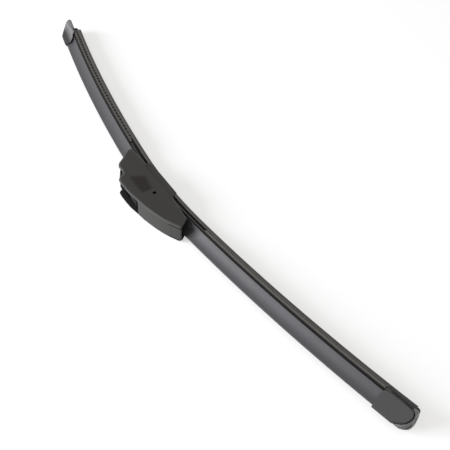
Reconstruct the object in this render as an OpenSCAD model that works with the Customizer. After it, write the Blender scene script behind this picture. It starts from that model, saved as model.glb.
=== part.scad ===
// Flat wiper blade with a central connector, lying on its side.
// +X runs to the outer end, +Y to the glass and +Z to the wind side.

/* [Blade line] */
// Radius of the middle stretch of the flexors, under the connector
mid_r = 500; // [420:10:700]
// Radius of both end stretches of the flexors
end_r = 1780; // [1400:20:2400]
// Station where the outer end stretch starts
outer_bend = 42; // [40:1:46]
// Station where the inner end stretch starts
inner_bend = 52; // [50:1:56]
// Reach of the outer end, from the middle station to the tip of its cap
outer_reach = 264; // [220:4:320]
// Reach of the inner end, from the middle station to the tip of its cap
inner_reach = 288; // [240:4:340]

/* [Flexors] */
// Width of one flexor rail
flexor_w = 4.2; // [3.8:0.1:4.6]
// Thickness of a flexor rail
flexor_t = 0.9; // [0.7:0.05:1.1]
// Half the gap between the two rails
flexor_gap = 1.0; // [0.9:0.05:1.2]
// Fit clearance round a rail
rail_fit = 0.06; // [0.05:0.01:0.1]

/* [Wiping rubber] */
// Half width of the rubber's head, above the rails
head_w = 2.1; // [1.8:0.1:2.4]
// Height of the rubber's head
head_h = 1.0; // [0.8:0.1:1.2]
// Half width of the shoulder, below the rails
shoulder_w = 3.2; // [2.8:0.1:3.8]
// Thickness of the shoulder
shoulder_t = 2.2; // [1.9:0.1:2.5]
// Half thickness of the hinge neck
neck_w = 0.45; // [0.35:0.05:0.7]
// Length of the hinge neck
neck_l = 1.3; // [1:0.1:1.5]
// Half width of the wiping wedge at its top
wedge_w = 3.0; // [2.6:0.1:3.4]
// Half width of the lip
lip_w = 0.4; // [0.3:0.05:0.5]
// Depth of the lip below the rails' mid-plane
lip_depth = 8.6; // [8:0.1:9.2]

/* [Spoiler] */
// Height of the spoiler's ridge above the rails' mid-plane
ridge_h = 9.7; // [8.6:0.1:11]
// How far the ridge leans to the lee side
ridge_lean = 3.2; // [2.6:0.1:3.8]
// Hollow of the wind face, as the offset of its curve
face_hollow = 1.7; // [0.8:0.1:2.2]
// Half width over the claws
claw_w = 6.5; // [6.3:0.05:6.8]
// Length of the notch in the claws next to the connector
claw_notch = 24; // [18:1:30]

/* [Connector] */
// Half width of the cover
cover_w = 7.8; // [7.6:0.1:8.4]
// Wall of the cover
cover_t = 1.3; // [1.0:0.05:1.4]
// Depth of the finger recess in each cheek
recess_t = 0.35; // [0.2:0.05:0.5]
// Station of the edge where the cover's top opens
top_edge = 4; // [3:0.5:6]
// Sheet thickness of the steel base
base_t = 0.7; // [0.5:0.05:0.9]
// Gap between the two ears of the base
ear_gap = 10.4; // [9.8:0.1:10.8]
// Radius of the pivot pin
pin_r = 2.5; // [2:0.1:3]
// Running clearance of the adapter on the pin
pin_fit = 0.06; // [0.03:0.01:0.09]

/* [Adapter] */
// Width of the adapter
adapter_w = 9.8; // [9:0.1:10.2]
// Width of the socket for the arm's tongue
socket_w = 6.4; // [5.6:0.1:7]
// Height of that socket
socket_h = 4.6; // [4.4:0.1:4.8]
// Depth of that socket
socket_l = 18; // [14:1:19]
// Length of the release button
button_l = 10; // [9:0.25:10.5]
// Width of the release button
button_w = 5.2; // [4.6:0.1:5.6]
// Travel of the release button
button_travel = 1.6; // [1.2:0.1:1.8]
// Side clearance of the release button
button_fit = 0.3; // [0.2:0.05:0.35]

/* [End caps] */
// Length of the outer cap
outer_cap_l = 26; // [24:1:29]
// Length of the inner cap
inner_cap_l = 34; // [30:1:38]
// Height of both caps above the rails' mid-plane
cap_h = 11.2; // [10.8:0.1:12]
// Half width of both caps
cap_w = 7.3; // [7.2:0.1:7.6]
// Depth of the step round the raised face of a cap
cap_step = 0.8; // [0.5:0.1:1]
// Width of the rim round the tip of that face
cap_rim = 0.8; // [0.6:0.1:1.4]

/* [Hidden] */
eps = 0.01;

// The arm's seat on the adapter is the origin, and this is its place from the middle station.
seat = [-22, -21];
// Pivot of the adapter, from the middle station
pivot = [-12, -13];

rail_half = flexor_t / 2;
rail_out = flexor_gap + flexor_w;
slot_half = rail_half + rail_fit;

function deg(rad) = rad * 180 / PI;

// Turn of the blade line at a station, in degrees
function turn_at(s) = s > outer_bend ? deg(outer_bend / mid_r + (s - outer_bend) / end_r)
    : s < -inner_bend ? deg(-inner_bend / mid_r + (s + inner_bend) / end_r)
    : deg(s / mid_r);

mid_centre = [0, mid_r];
function end_centre(turn) = mid_centre + (end_r - mid_r) * [-sin(turn), cos(turn)];
outer_centre = end_centre(turn_at(outer_bend));
inner_centre = end_centre(turn_at(-inner_bend));

// A point at a station, h above the rails' mid-plane
function on_arc(centre, r, turn) = centre + r * [sin(turn), -cos(turn)];
function line_point(s, h) = s > outer_bend ? on_arc(outer_centre, end_r + h, turn_at(s))
    : s < -inner_bend ? on_arc(inner_centre, end_r + h, turn_at(s))
    : on_arc(mid_centre, mid_r + h, turn_at(s));

// Moves what is drawn from the middle station to the part's own frame
module in_frame() {
    translate([-seat.x, -seat.y, 0]) children();
}

// Puts children at a station, with +X along the blade and -Y to the ridge
module at_station(s) {
    p = line_point(s, 0);
    translate([p.x, p.y, 0]) rotate([0, 0, turn_at(s)]) children();
}

// Sweeps a section, drawn as height by width, round one arc between two turns
module arc_run(centre, r, from_turn, to_turn) {
    translate([centre.x, centre.y, 0])
        rotate([0, 0, from_turn - 90])
            rotate_extrude(angle = to_turn - from_turn, $fn = 720)
                translate([r, 0]) children();
}

module mid_run(s0, s1) {
    arc_run(mid_centre, mid_r, deg(s0 / mid_r), deg(s1 / mid_r)) children();
}

// The end stretches may start a little inside the middle one, where the arcs still agree.
module outer_run(s0, s1) {
    bend = turn_at(outer_bend);
    arc_run(outer_centre, end_r, bend + deg((s0 - outer_bend) / end_r),
        bend + deg((s1 - outer_bend) / end_r)) children();
}

module inner_run(s0, s1) {
    bend = turn_at(-inner_bend);
    arc_run(inner_centre, end_r, bend + deg((s0 + inner_bend) / end_r),
        bend + deg((s1 + inner_bend) / end_r)) children();
}

// Mirrors half an outline, given from one end of the mid-plane to the other
function both_sides(half) = concat(half,
    [for (i = [len(half) - 1:-1:0]) [half[i].x, -half[i].y]]);

// Moves each corner of an anticlockwise outline inwards, so that every side goes in by d
function unit(v) = v / norm(v);
function inward(a, b) = let (u = unit(b - a)) [-u.y, u.x];
function inset(outline, d) = let (n = len(outline)) [for (i = [0:n - 1])
    let (p = outline[i], n1 = inward(outline[(i + n - 1) % n], p), n2 = inward(p, outline[(i + 1) % n]))
        p + d * (n1 + n2) / (1 + n1 * n2)];

// Runs an outline along all three arcs. The middle run is a hair slimmer and ends inside the
// others, so that no two of their faces lie on each other.
arc_lap = 1;
arc_slim = 0.02;
module line_run(outline, s0, s1) {
    inner_run(s0, -inner_bend) polygon(outline);
    mid_run(-inner_bend - arc_lap, outer_bend + arc_lap) polygon(inset(outline, arc_slim));
    outer_run(outer_bend, s1) polygon(outline);
}

// Stations where each long piece ends inside its cap or the connector
outer_cap_start = outer_reach - outer_cap_l;
inner_cap_start = inner_reach - inner_cap_l;
spoiler_in_cap = 5;
rails_in_cap = 13;
rubber_in_cap = 21;

// Wiping rubber
shoulder_low = -slot_half - shoulder_t;
wedge_top = shoulder_low - neck_l;
web_w = flexor_gap - rail_fit;
rubber_half = [
    [slot_half + head_h, head_w], [slot_half, head_w], [slot_half, web_w], [-slot_half, web_w],
    [-slot_half, shoulder_w], [shoulder_low + 0.5, shoulder_w], [shoulder_low, shoulder_w - 0.6],
    [shoulder_low, neck_w + 0.3], [shoulder_low - 0.3, neck_w], [wedge_top + 0.3, neck_w],
    [wedge_top, neck_w + 0.3], [wedge_top, wedge_w - 0.3], [wedge_top - 0.5, wedge_w],
    [-lip_depth + 2.2, lip_w + 0.35], [-lip_depth, lip_w],
];

module wiping_rubber() {
    color([0.20, 0.18, 0.17])
        in_frame()
            line_run(both_sides(rubber_half), -inner_cap_start - rubber_in_cap,
                outer_cap_start + rubber_in_cap);
}

// Flexor rails
module flexor(side) {
    low = side > 0 ? flexor_gap : -rail_out;
    high = low + flexor_w;
    in_frame()
        line_run([[rail_half, low], [rail_half, high], [-rail_half, high], [-rail_half, low]],
            -inner_cap_start - rails_in_cap, outer_cap_start + rails_in_cap);
}

module flexor_wind() {
    color([0.12, 0.12, 0.12]) flexor(1);
}

module flexor_lee() {
    color([0.12, 0.12, 0.12]) flexor(-1);
}

// Spoiler section
base_h = slot_half + 0.45;
foot_h = base_h + 0.8;
foot_w = 4.8;
neck_side = 3.1;
hook_h = slot_half + 1.05;
hook_in = 4.2;
face_steps = 10;

// Curve of the wind face, from the ridge down to the foot
function bend_point(a, c, b, t) = (1 - t) * (1 - t) * a + 2 * t * (1 - t) * c + t * t * b;
ridge_wind = [ridge_h - 0.35, -ridge_lean + 0.6];
foot_edge = [foot_h, foot_w];
face_mid = (ridge_wind + foot_edge) / 2 - face_hollow * [0.73, 0.68];
wind_face = [for (i = [0:face_steps]) bend_point(ridge_wind, face_mid, foot_edge, i / face_steps)];

claw_wind = [
    [base_h, neck_side], [base_h, claw_w - 0.6], [base_h - 0.3, claw_w],
    [-hook_h + 0.3, claw_w], [-hook_h, claw_w - 0.3], [-hook_h, hook_in], [-slot_half, hook_in],
    [-slot_half, rail_out + rail_fit], [slot_half, rail_out + rail_fit],
];
head_room = slot_half + head_h + 0.1;
spoiler_outline = concat(wind_face, [[foot_h - 0.25, foot_w], [foot_h - 0.25, neck_side]],
    claw_wind, [[slot_half, head_w + 0.1], [head_room, head_w + 0.1],
    [head_room, -head_w - 0.1], [slot_half, -head_w - 0.1]],
    [for (i = [len(claw_wind) - 1:-1:1]) [claw_wind[i].x, -claw_wind[i].y]],
    [[foot_h, -foot_w - 0.5], [ridge_h * 0.55, -ridge_lean - 1.4],
    [ridge_h - 0.3, -ridge_lean - 0.6], [ridge_h, -ridge_lean]]);

// What is cut from both rows of claws next to the connector
module claw_gap() {
    for (side = [-1, 1])
        translate([-hook_h - 1, side > 0 ? hook_in - 0.2 : -claw_w - 1])
            square([base_h + hook_h + 1 + eps, claw_w + 1 - hook_in + 0.2]);
}

spoiler_under_cover = 7;

module spoiler_outer() {
    start = outer_bend - spoiler_under_cover;
    color([0.24, 0.24, 0.24])
        in_frame()
            difference() {
                outer_run(start, outer_cap_start + spoiler_in_cap) polygon(spoiler_outline);
                outer_run(start - 1, outer_bend - 8 + claw_notch) claw_gap();
            }
}

module spoiler_inner() {
    start = inner_bend - spoiler_under_cover + 1;
    color([0.24, 0.24, 0.24])
        in_frame()
            difference() {
                inner_run(-inner_cap_start - spoiler_in_cap, -start) polygon(spoiler_outline);
                inner_run(-inner_bend - claw_notch * 2 / 3, -start + 1) claw_gap();
            }
}

// Connector base, a carrier that grips both rails and holds the pin
base_ends = [-33, 14];
base_low = -slot_half - base_t;
base_top = slot_half + head_h + 0.9;
base_out = rail_out + rail_fit + base_t;
clamp_l = 11;
ear_t = 1;
ear_r = 5;
ear_foot_y = -1.2;

base_grip = [
    [base_top, base_out], [base_low, base_out], [base_low, hook_in], [-slot_half, hook_in],
    [-slot_half, rail_out + rail_fit], [slot_half, rail_out + rail_fit],
    [slot_half, head_w + 0.2], [slot_half + head_h + 0.15, head_w + 0.2],
];

function round_points(centre, r, a0, a1, step) =
    [for (a = [a0:step:a1]) centre + r * [cos(a), sin(a)]];

ear_outline = concat([[base_ends[0] + 8, ear_foot_y], [base_ends[0] + 8, ear_foot_y - 2.5]],
    round_points(pivot, ear_r, 180, 360, 15),
    [[base_ends[1] - 13, ear_foot_y - 2.5], [base_ends[1] - 13, ear_foot_y]]);

module connector_base() {
    between = base_ends[1] - base_ends[0] - 2 * clamp_l;
    color([0.16, 0.16, 0.16])
        in_frame()
            difference() {
                union() {
                    mid_run(base_ends[0], base_ends[1]) polygon(both_sides(base_grip));
                    for (side = [-1, 1])
                        translate([0, 0, side > 0 ? ear_gap / 2 : -ear_gap / 2 - ear_t])
                            linear_extrude(ear_t) polygon(ear_outline);
                }
                translate([pivot.x, pivot.y, -ear_gap]) cylinder(h = 2 * ear_gap, r = pin_r, $fn = 64);
                for (side = [-1, 1])
                    translate([base_ends[0] + clamp_l, -0.4, side > 0 ? hook_in - 0.1 : -hook_in - 3.9])
                        cube([between, 6, 4]);
            }
}

// Pivot pin, flush with the outer faces of the ears
module pivot_pin() {
    pin_l = ear_gap + 2 * ear_t;
    color([0.62, 0.62, 0.64])
        in_frame()
            translate([pivot.x, pivot.y, -pin_l / 2]) cylinder(h = pin_l, r = pin_r, $fn = 64);
}

// Connector cover, a moulded shell of two cheeks and a closed top on the outer side
cover_round = 1.6;
cover_top = [
    [top_edge, -25.4], [top_edge + 7.5, -24.4], [24.5, -21.3], [32, -18.9], [38.5, -16.2],
    [45, -12.8], [47.7, -11.2],
];
cover_far = [
    [-57.3, 0.9], [-58, -2.9], [-54.3, -7.5], [-50.1, -11.8], [-45.9, -17], [-42.8, -19.1],
    [-40, -19.8], [-35.4, -19.6], [-32, -20.4], [-29.7, -22.2], [-28.3, -25], [-26.8, -26.5],
    [-24.8, -27.2], [-21, -27.5], [-13, -27.5], [-6, -27.1],
];
cover_low = [
    [40.1, -2.1], [15.1, 0.2], [12.6, 0.6], [11.6, 4.9], [9.6, 5.7], [-28.8, 5.9], [-31.6, 5.2],
    [-33.8, 1.6],
];
cover_outline = concat(cover_far, cover_top, cover_low);
crease_y = -0.4;
lobe_ends = [-31.9, 14.4];
lobe_step = 0.5;
ledge_y = 0.8 - base_low;
ledge_t = 0.9;
ledge_in = 4.9;
finger_recess = [[-25.6, -18.2], [-9.5, -19], [-1.4, -18.2], [-1.8, -10], [-3.4, -7.8], [-18.6, -6]];
snap_window = [2.5, -9.9];
snap_size = [2.8, 2.6];
tab_slit = [37.4, 0.7];
tab_side = 5.3;

// The room under the top and between the cheeks, open at both ends and below
cover_room = concat([[-70, -50], [top_edge, -50]], [for (p = cover_top) [p.x, p.y + cover_t]],
    [[60, -3], [60, 20], [-70, 20]]);

// A plate of the given half thickness with all its edges rounded. Its outline runs anticlockwise.
module rounded_plate(outline, half, r, steps) {
    n = len(outline);
    rims = concat(
        [for (i = [0:steps]) let (a = 90 * i / steps) [r * (1 - sin(a)), -half + r * (1 - cos(a))]],
        [for (i = [0:steps]) let (a = 90 * i / steps) [r * (1 - cos(a)), half - r * (1 - sin(a))]]);
    points = [for (rim = rims) for (p = inset(outline, rim[0])) [p.x, p.y, rim[1]]];
    sides = [for (i = [0:len(rims) - 2]) for (j = [0:n - 1]) let (k = (j + 1) % n)
        [i * n + j, (i + 1) * n + j, (i + 1) * n + k, i * n + k]];
    bottom = [for (j = [0:n - 1]) j];
    top = [for (j = [n - 1:-1:0]) (len(rims) - 1) * n + j];
    polyhedron(points, concat([bottom], sides, [top]), convexity = 6);
}

module connector_cover() {
    room = 2 * (cover_w - cover_t);
    color([0.22, 0.22, 0.21])
        in_frame() {
            difference() {
                rounded_plate(cover_outline, cover_w, cover_round, 4);
                translate([0, 0, -room / 2]) linear_extrude(room) polygon(cover_room);
                for (side = [-1, 1]) {
                    translate([0, 0, side > 0 ? cover_w - recess_t : -cover_w - 1])
                        linear_extrude(recess_t + 1) polygon(finger_recess);
                    translate([lobe_ends[0], crease_y, side > 0 ? cover_w - lobe_step : -cover_w - 1])
                        cube([lobe_ends[1] - lobe_ends[0], 10, lobe_step + 1]);
                    translate([tab_slit[0], -30, side > 0 ? tab_side : -tab_side - tab_slit[1]])
                        cube([20, 20, tab_slit[1]]);
                }
                translate([snap_window.x - snap_size.x / 2, snap_window.y - snap_size.y / 2, -10])
                    cube([snap_size.x, snap_size.y, 20]);
            }
            for (side = [-1, 1])
                translate([lobe_ends[0] + 4, ledge_y, side > 0 ? ledge_in : -cover_w + 0.6])
                    cube([lobe_ends[1] - lobe_ends[0] - 10, ledge_t, cover_w - 0.6 - ledge_in]);
        }
}

// Adapter, which turns on the pin and takes the arm's tongue
adapter_ends = [-38, 1.6];
adapter_floor_y = -14.2;
hub_r = 5.5;
socket_roof = 1.5;
button_mid = -5.4;
button_lip = 1.6;
flange_out = 0.6;
flange_t = 1;

// Side view with both guides, which stand along the seat and reach past the socket's mouth
guide_t = 1;
guide_top = -24.4;
guide_end = adapter_ends[0] - 1.4;
adapter_outline = concat(
    [[guide_end, seat.y + 4], [guide_end, seat.y + 1.8], [-31, guide_top + 0.6], [-27, guide_top],
    [adapter_ends[1], guide_top], [adapter_ends[1], adapter_floor_y]],
    round_points(pivot, hub_r, 15, 150, 15),
    [[-24, -12.8], [adapter_ends[0], adapter_floor_y + 0.3]]);

// What is cut away between the guides, down to the seat and its sloping far edge
guide_channel = [[-50, -40], [10, -40], [10, seat.y], [adapter_ends[0] + 1.9, seat.y],
    [adapter_ends[0], seat.y + 1], [adapter_ends[0], -5], [-50, -5]];

module adapter() {
    pocket_l = button_l + 2 * button_fit;
    pocket_w = button_w + 2 * button_fit;
    wide_l = pocket_l + 2 * flange_out;
    lip_y = seat.y + button_lip;
    floor_y = lip_y + flange_t + button_travel + 0.4;
    color([0.10, 0.10, 0.10])
        in_frame()
            difference() {
                translate([0, 0, -adapter_w / 2]) linear_extrude(adapter_w) polygon(adapter_outline);
                translate([0, 0, guide_t - adapter_w / 2])
                    linear_extrude(adapter_w - 2 * guide_t) polygon(guide_channel);
                translate([pivot.x, pivot.y, -adapter_w])
                    cylinder(h = 2 * adapter_w, r = pin_r + pin_fit, $fn = 64);
                translate([adapter_ends[0] - 1, seat.y + socket_roof, -socket_w / 2])
                    cube([socket_l + 1, socket_h, socket_w]);
                translate([button_mid - pocket_l / 2, seat.y - 1, -pocket_w / 2])
                    cube([pocket_l, button_lip + 1 + eps, pocket_w]);
                translate([button_mid - wide_l / 2, lip_y, -pocket_w / 2])
                    cube([wide_l, floor_y - lip_y, pocket_w]);
            }
}

// Release button, with finger ribs across its top
button_rise = 3;
rib_pitch = 1.5;
rib_t = 0.6;

module release_button() {
    top_y = seat.y - button_rise;
    flange_y = seat.y + button_lip + 0.1;
    ribs = floor((button_l - rib_t) / rib_pitch);
    color([0.14, 0.14, 0.14])
        in_frame()
            union() {
                translate([button_mid - button_l / 2, top_y, -button_w / 2])
                    cube([button_l, flange_y - top_y + eps, button_w]);
                translate([button_mid - button_l / 2 - flange_out, flange_y, -button_w / 2])
                    cube([button_l + 2 * flange_out, flange_t, button_w]);
                for (i = [0:ribs])
                    translate([button_mid + (i - ribs / 2) * rib_pitch - rib_t / 2,
                        top_y - 0.5, -button_w / 2])
                        cube([rib_t, 0.5 + eps, button_w]);
            }
}

// End caps. Sections are height by width, plans are length by height.
function cap_section(in, low) = concat(
    low < -3
        ? [[low + in, -1.3 + in / 2], [low + in, 1.3 - in / 2], [low + 1.3 + in / 2, 2.5 - in]]
        : [[low + in, -cap_w + 0.8 + in], [low + in, cap_w - 0.8 - in]],
    [[-0.9, cap_w - 0.2 - in], [0.4, cap_w - in], [1.5, cap_w - 0.2 - in],
    [cap_h - 0.8 - in, -ridge_lean + 1.1], [cap_h - in, -ridge_lean - 0.2],
    [cap_h - 0.4 - in, -ridge_lean - 1.2], [1.5, -cap_w + 0.2 + in], [0.4, -cap_w + in],
    [-0.9, -cap_w + 0.2 + in]],
    low < -3 ? [[low + 1.3 + in / 2, -2.5 + in]] : []);

module along_section(l, section) {
    rotate([90, 0, 90]) linear_extrude(l) polygon([for (p = section) [-p.x, p.y]]);
}

module plan_prism(plan) {
    translate([0, 0, -10]) linear_extrude(20) polygon([for (p = plan) [p.x, -p.y]]);
}

// The room for the ends of the spoiler, the rails and the rubber
room_fit = 0.12;
module cap_room() {
    translate([-1, 0, 0]) {
        along_section(spoiler_in_cap + 1.4, [[-hook_h - room_fit, claw_w + room_fit],
            [foot_h - 0.2, claw_w + room_fit], [ridge_h * 0.55, 2.6], [ridge_h + 0.2, -ridge_lean + 0.9],
            [ridge_h + 0.2, -ridge_lean - 0.9], [ridge_h * 0.55, -ridge_lean - 1.7],
            [foot_h, -claw_w - room_fit], [-hook_h - room_fit, -claw_w - room_fit]]);
        along_section(rails_in_cap + 1.4, [[-slot_half - 0.1, -rail_out - 0.2],
            [-slot_half - 0.1, rail_out + 0.2], [slot_half + 0.1, rail_out + 0.2],
            [slot_half + 0.1, -rail_out - 0.2]]);
        along_section(rubber_in_cap + 1.4, [[slot_half + head_h + 0.2, -head_w - 0.2],
            [-slot_half, -head_w - 0.2], [-slot_half, -shoulder_w - 0.2],
            [shoulder_low - 0.2, -shoulder_w - 0.2], [wedge_top - 0.5, -wedge_w - 0.2],
            [-lip_depth - 1, -lip_w - 0.35], [-lip_depth - 1, lip_w + 0.35],
            [wedge_top - 0.5, wedge_w + 0.2], [shoulder_low - 0.2, shoulder_w + 0.2],
            [-slot_half, shoulder_w + 0.2], [-slot_half, head_w + 0.2],
            [slot_half + head_h + 0.2, head_w + 0.2]]);
    }
}

// The raised face starts this high at its corner on the lip side.
face_corner = 2.6;
module cap_body(l, low, tip, face_tip) {
    difference() {
        union() {
            intersection() {
                along_section(l, cap_section(cap_step, low));
                plan_prism(concat([[0, -12], [0, 14]], tip));
            }
            intersection() {
                along_section(l, cap_section(0, low));
                plan_prism(concat([[0, face_corner], [0, 14]], face_tip));
            }
        }
        cap_room();
    }
}

// Both tips are outlines of length by height, from the ridge side round to the lip side.
module end_cap_outer() {
    l = outer_cap_l;
    f = l - cap_rim;
    color([0.20, 0.20, 0.20])
        in_frame()
            at_station(outer_cap_start)
                cap_body(l, -7.7,
                    [[l - 8, 12.2], [l - 4.4, 10.6], [l - 2, 8.6], [l - 0.6, 6.4], [l, 4], [l, 1.4],
                        [l - 0.4, -1.6], [l - 1.4, -5], [l - 2.7, -7.2], [l - 4.4, -8.2], [l - 7, -12]],
                    [[f - 12, 14], [f - 6.4, 10.8], [f - 2.4, 9.2], [f - 0.6, 7.3], [f, 5.2],
                        [f - 0.1, 3.4], [f - 0.8, 2], [f - 3, 1], [f - 11, -0.2], [f - 18.6, -0.6],
                        [f - 21.4, 0.2]]);
}

module end_cap_inner() {
    l = inner_cap_l;
    f = l - cap_rim;
    color([0.20, 0.20, 0.20])
        in_frame()
            at_station(-inner_cap_start) mirror([1, 0, 0])
                cap_body(l, -1.9,
                    [[l - 20, 12], [l - 13, 10.4], [l - 7, 7.6], [l - 2.6, 4.6], [l - 0.8, 3],
                        [l, 1.8], [l, -1], [l - 0.5, -1.6], [l - 2, -2.6], [l - 20, -12]],
                    [[f - 18, 13], [f - 12, 10.6], [f - 6, 7.6], [f - 2, 4.6], [f - 0.4, 2.6],
                        [f, 1.4], [f - 0.8, 0.2], [f - 4, -0.4], [f - 12, -1], [f - 20, -0.8],
                        [f - 25, 0]]);
}

wiping_rubber();
flexor_wind();
flexor_lee();
spoiler_outer();
spoiler_inner();
end_cap_outer();
end_cap_inner();
connector_base();
connector_cover();
pivot_pin();
adapter();
release_button();
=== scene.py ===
from math import cos, pi, radians, sin, sqrt

import bmesh
import bpy
from bpy.props import FloatProperty, FloatVectorProperty, PointerProperty
from mathutils import Matrix, Vector


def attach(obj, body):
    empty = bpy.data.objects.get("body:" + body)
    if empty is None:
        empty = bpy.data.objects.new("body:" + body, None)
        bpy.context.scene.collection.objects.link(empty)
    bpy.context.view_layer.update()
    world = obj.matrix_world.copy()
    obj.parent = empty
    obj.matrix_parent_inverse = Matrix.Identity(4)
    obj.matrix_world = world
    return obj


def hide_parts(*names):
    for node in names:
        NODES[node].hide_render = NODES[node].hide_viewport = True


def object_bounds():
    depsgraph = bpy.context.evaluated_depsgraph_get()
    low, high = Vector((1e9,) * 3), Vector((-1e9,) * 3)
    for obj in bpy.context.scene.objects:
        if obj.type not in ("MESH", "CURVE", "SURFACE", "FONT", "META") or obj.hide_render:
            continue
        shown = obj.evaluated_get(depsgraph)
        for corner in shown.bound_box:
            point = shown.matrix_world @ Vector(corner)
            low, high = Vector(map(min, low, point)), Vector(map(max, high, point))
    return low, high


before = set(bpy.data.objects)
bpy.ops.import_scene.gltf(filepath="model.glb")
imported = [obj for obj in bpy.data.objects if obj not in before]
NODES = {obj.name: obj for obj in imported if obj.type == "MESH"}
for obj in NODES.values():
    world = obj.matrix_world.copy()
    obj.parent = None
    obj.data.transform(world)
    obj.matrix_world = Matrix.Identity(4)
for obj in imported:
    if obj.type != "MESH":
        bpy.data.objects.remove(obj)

bl_info = {
    "name": "Wiper blade",
    "version": (1, 0, 0),
    "blender": (4, 5, 0),
    "location": "View3D > Sidebar > Wiper",
    "description": "Dresses the packed wiper blade and sets up its studio",
    "category": "Object",
}

CAD_LOW, CAD_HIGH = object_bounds()
MM = 0.001

# Blade line, as in the part's source, in millimetres
SEAT = (-22.0, -21.0)
MID_R = 500.0
END_R = 1780.0
OUTER_BEND = 42.0
INNER_BEND = 52.0
OUTER_CAP = 238.0
INNER_CAP = -254.0


def turn_at(s):
    """Turn of the blade line at station s, in radians."""
    if s > OUTER_BEND:
        return OUTER_BEND / MID_R + (s - OUTER_BEND) / END_R
    if s < -INNER_BEND:
        return -INNER_BEND / MID_R + (s + INNER_BEND) / END_R
    return s / MID_R


def line_point(s, h, w=0.0):
    """The point at station s, h above the rails' mid-plane and w to the wind side, in metres."""
    a = turn_at(s)
    bend = min(max(s, -INNER_BEND), OUTER_BEND) / MID_R
    far = END_R - MID_R if bend != s / MID_R else 0.0
    r = MID_R + far + h
    x = -far * sin(bend) + r * sin(a)
    y = MID_R + far * cos(bend) - r * cos(a)
    return Vector(((x - SEAT[0]) * MM, (y - SEAT[1]) * MM, w * MM))


# Shapes

# Corners: the angle that counts as straight, the most of a side that one takes, the least radius
STRAIGHT = radians(174)
SIDE_SHARE = 0.45
LEAST_R = 0.12
# Angles of a quarter of a circle
QUARTER = [pi * i / 16 for i in range(9)]


def new_piece(name, mesh, body, node, *more):
    """Links a mesh as a piece that stands for CAD nodes."""
    obj = bpy.data.objects.new(name, mesh)
    bpy.context.scene.collection.objects.link(obj)
    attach(obj, body)
    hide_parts(node, *more)
    return obj


def smooth_by_angle(mesh, degrees):
    """Smooth shading, with sharp edges where faces meet at more than the angle."""
    mesh.shade_smooth()
    mesh.set_sharp_from_angle(angle=radians(degrees))


def soft_corners(outline, r, steps=3):
    """Rounds the corners of an outline. Each point is (x, y) or (x, y, own radius).

    A corner takes no more than its share of each side, and one that is almost straight stays."""
    points = []
    count = len(outline)
    for i, p in enumerate(outline):
        here = Vector(p[:2])
        before = Vector(outline[i - 1][:2]) - here
        after = Vector(outline[(i + 1) % count][:2]) - here
        radius = p[2] if len(p) > 2 else r
        turn = before.angle(after, 0.0)
        if radius <= 0.0 or turn > STRAIGHT:
            points.append(here)
            continue
        cut = min(radius / max(sin(turn / 2) / cos(turn / 2), 1e-3),
                  SIDE_SHARE * before.length, SIDE_SHARE * after.length)
        a = here + before.normalized() * cut
        b = here + after.normalized() * cut
        for k in range(steps + 1):
            t = k / steps
            points.append((1 - t) ** 2 * a + 2 * t * (1 - t) * here + t * t * b)
    return points


def mesh_of(bm, name):
    """Turns a bmesh into a mesh with its faces' normals outwards."""
    bmesh.ops.recalc_face_normals(bm, faces=bm.faces)
    data = bpy.data.meshes.new(name)
    bm.to_mesh(data)
    bm.free()
    return data


def add_skin(bm, rings, zone_of=None):
    """Joins closed rings of points with faces and shuts both ends. A face's zone picks its tone."""
    zone = bm.faces.layers.float.get("zone") or bm.faces.layers.float.new("zone")
    grid = [[bm.verts.new(p) for p in ring] for ring in rings]
    count = len(grid[0])
    for i in range(len(grid) - 1):
        for j in range(count):
            k = (j + 1) % count
            face = bm.faces.new((grid[i][j], grid[i][k], grid[i + 1][k], grid[i + 1][j]))
            if zone_of:
                face[zone] = zone_of(i, j)
    for ring in (grid[0], list(reversed(grid[-1]))):
        face = bm.faces.new(ring)
        if zone_of:
            face[zone] = zone_of(len(grid) - 1 if ring is not grid[0] else 0, 0)


def sweep_mesh(name, outline, s0, s1, pitch=4.0, zone_of=None):
    """Runs an outline of (height, width) along the blade line, with u along it and v round it."""
    rings = max(2, int(abs(s1 - s0) / pitch) + 1)
    count = len(outline)
    round_way = [0.0]
    for i in range(count):
        round_way.append(round_way[-1] + (outline[(i + 1) % count] - outline[i]).length)
    mesh = bmesh.new()
    uv = mesh.loops.layers.uv.new("along")
    zone = mesh.faces.layers.float.new("zone")
    grid = []
    stations = [s0 + (s1 - s0) * i / rings for i in range(rings + 1)]
    for s in stations:
        grid.append([mesh.verts.new(line_point(s, p.x, p.y)) for p in outline])
    for i in range(rings):
        for j in range(count):
            k = (j + 1) % count
            face = mesh.faces.new((grid[i][j], grid[i][k], grid[i + 1][k], grid[i + 1][j]))
            if zone_of:
                face[zone] = zone_of(*((outline[j] + outline[k]) / 2), stations[i])
            places = ((i, j), (i, j + 1), (i + 1, j + 1), (i + 1, j))
            for loop, (ring, step) in zip(face.loops, places):
                loop[uv].uv = (stations[ring] * MM, round_way[step] * MM)
    for ring in (grid[0], list(reversed(grid[-1]))):
        face = mesh.faces.new(ring)
        for loop in face.loops:
            loop[uv].uv = (loop.vert.co.y, loop.vert.co.z)
    return mesh_of(mesh, name)


def inset(outline, d):
    """Moves every side of an anticlockwise outline inwards by d."""
    moved = []
    count = len(outline)
    for i, p in enumerate(outline):
        here = Vector(p[:2])
        way_in = (here - Vector(outline[i - 1][:2])).normalized()
        way_out = (Vector(outline[(i + 1) % count][:2]) - here).normalized()
        n1 = Vector((-way_in.y, way_in.x))
        n2 = Vector((-way_out.y, way_out.x))
        moved.append(here + d * (n1 + n2) / (1 + n1.dot(n2)))
    return moved


def on_plate(p, z):
    """A point of the connector, drawn from the middle station, in metres."""
    return Vector(((p[0] - SEAT[0]) * MM, (p[1] - SEAT[1]) * MM, z * MM))


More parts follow.
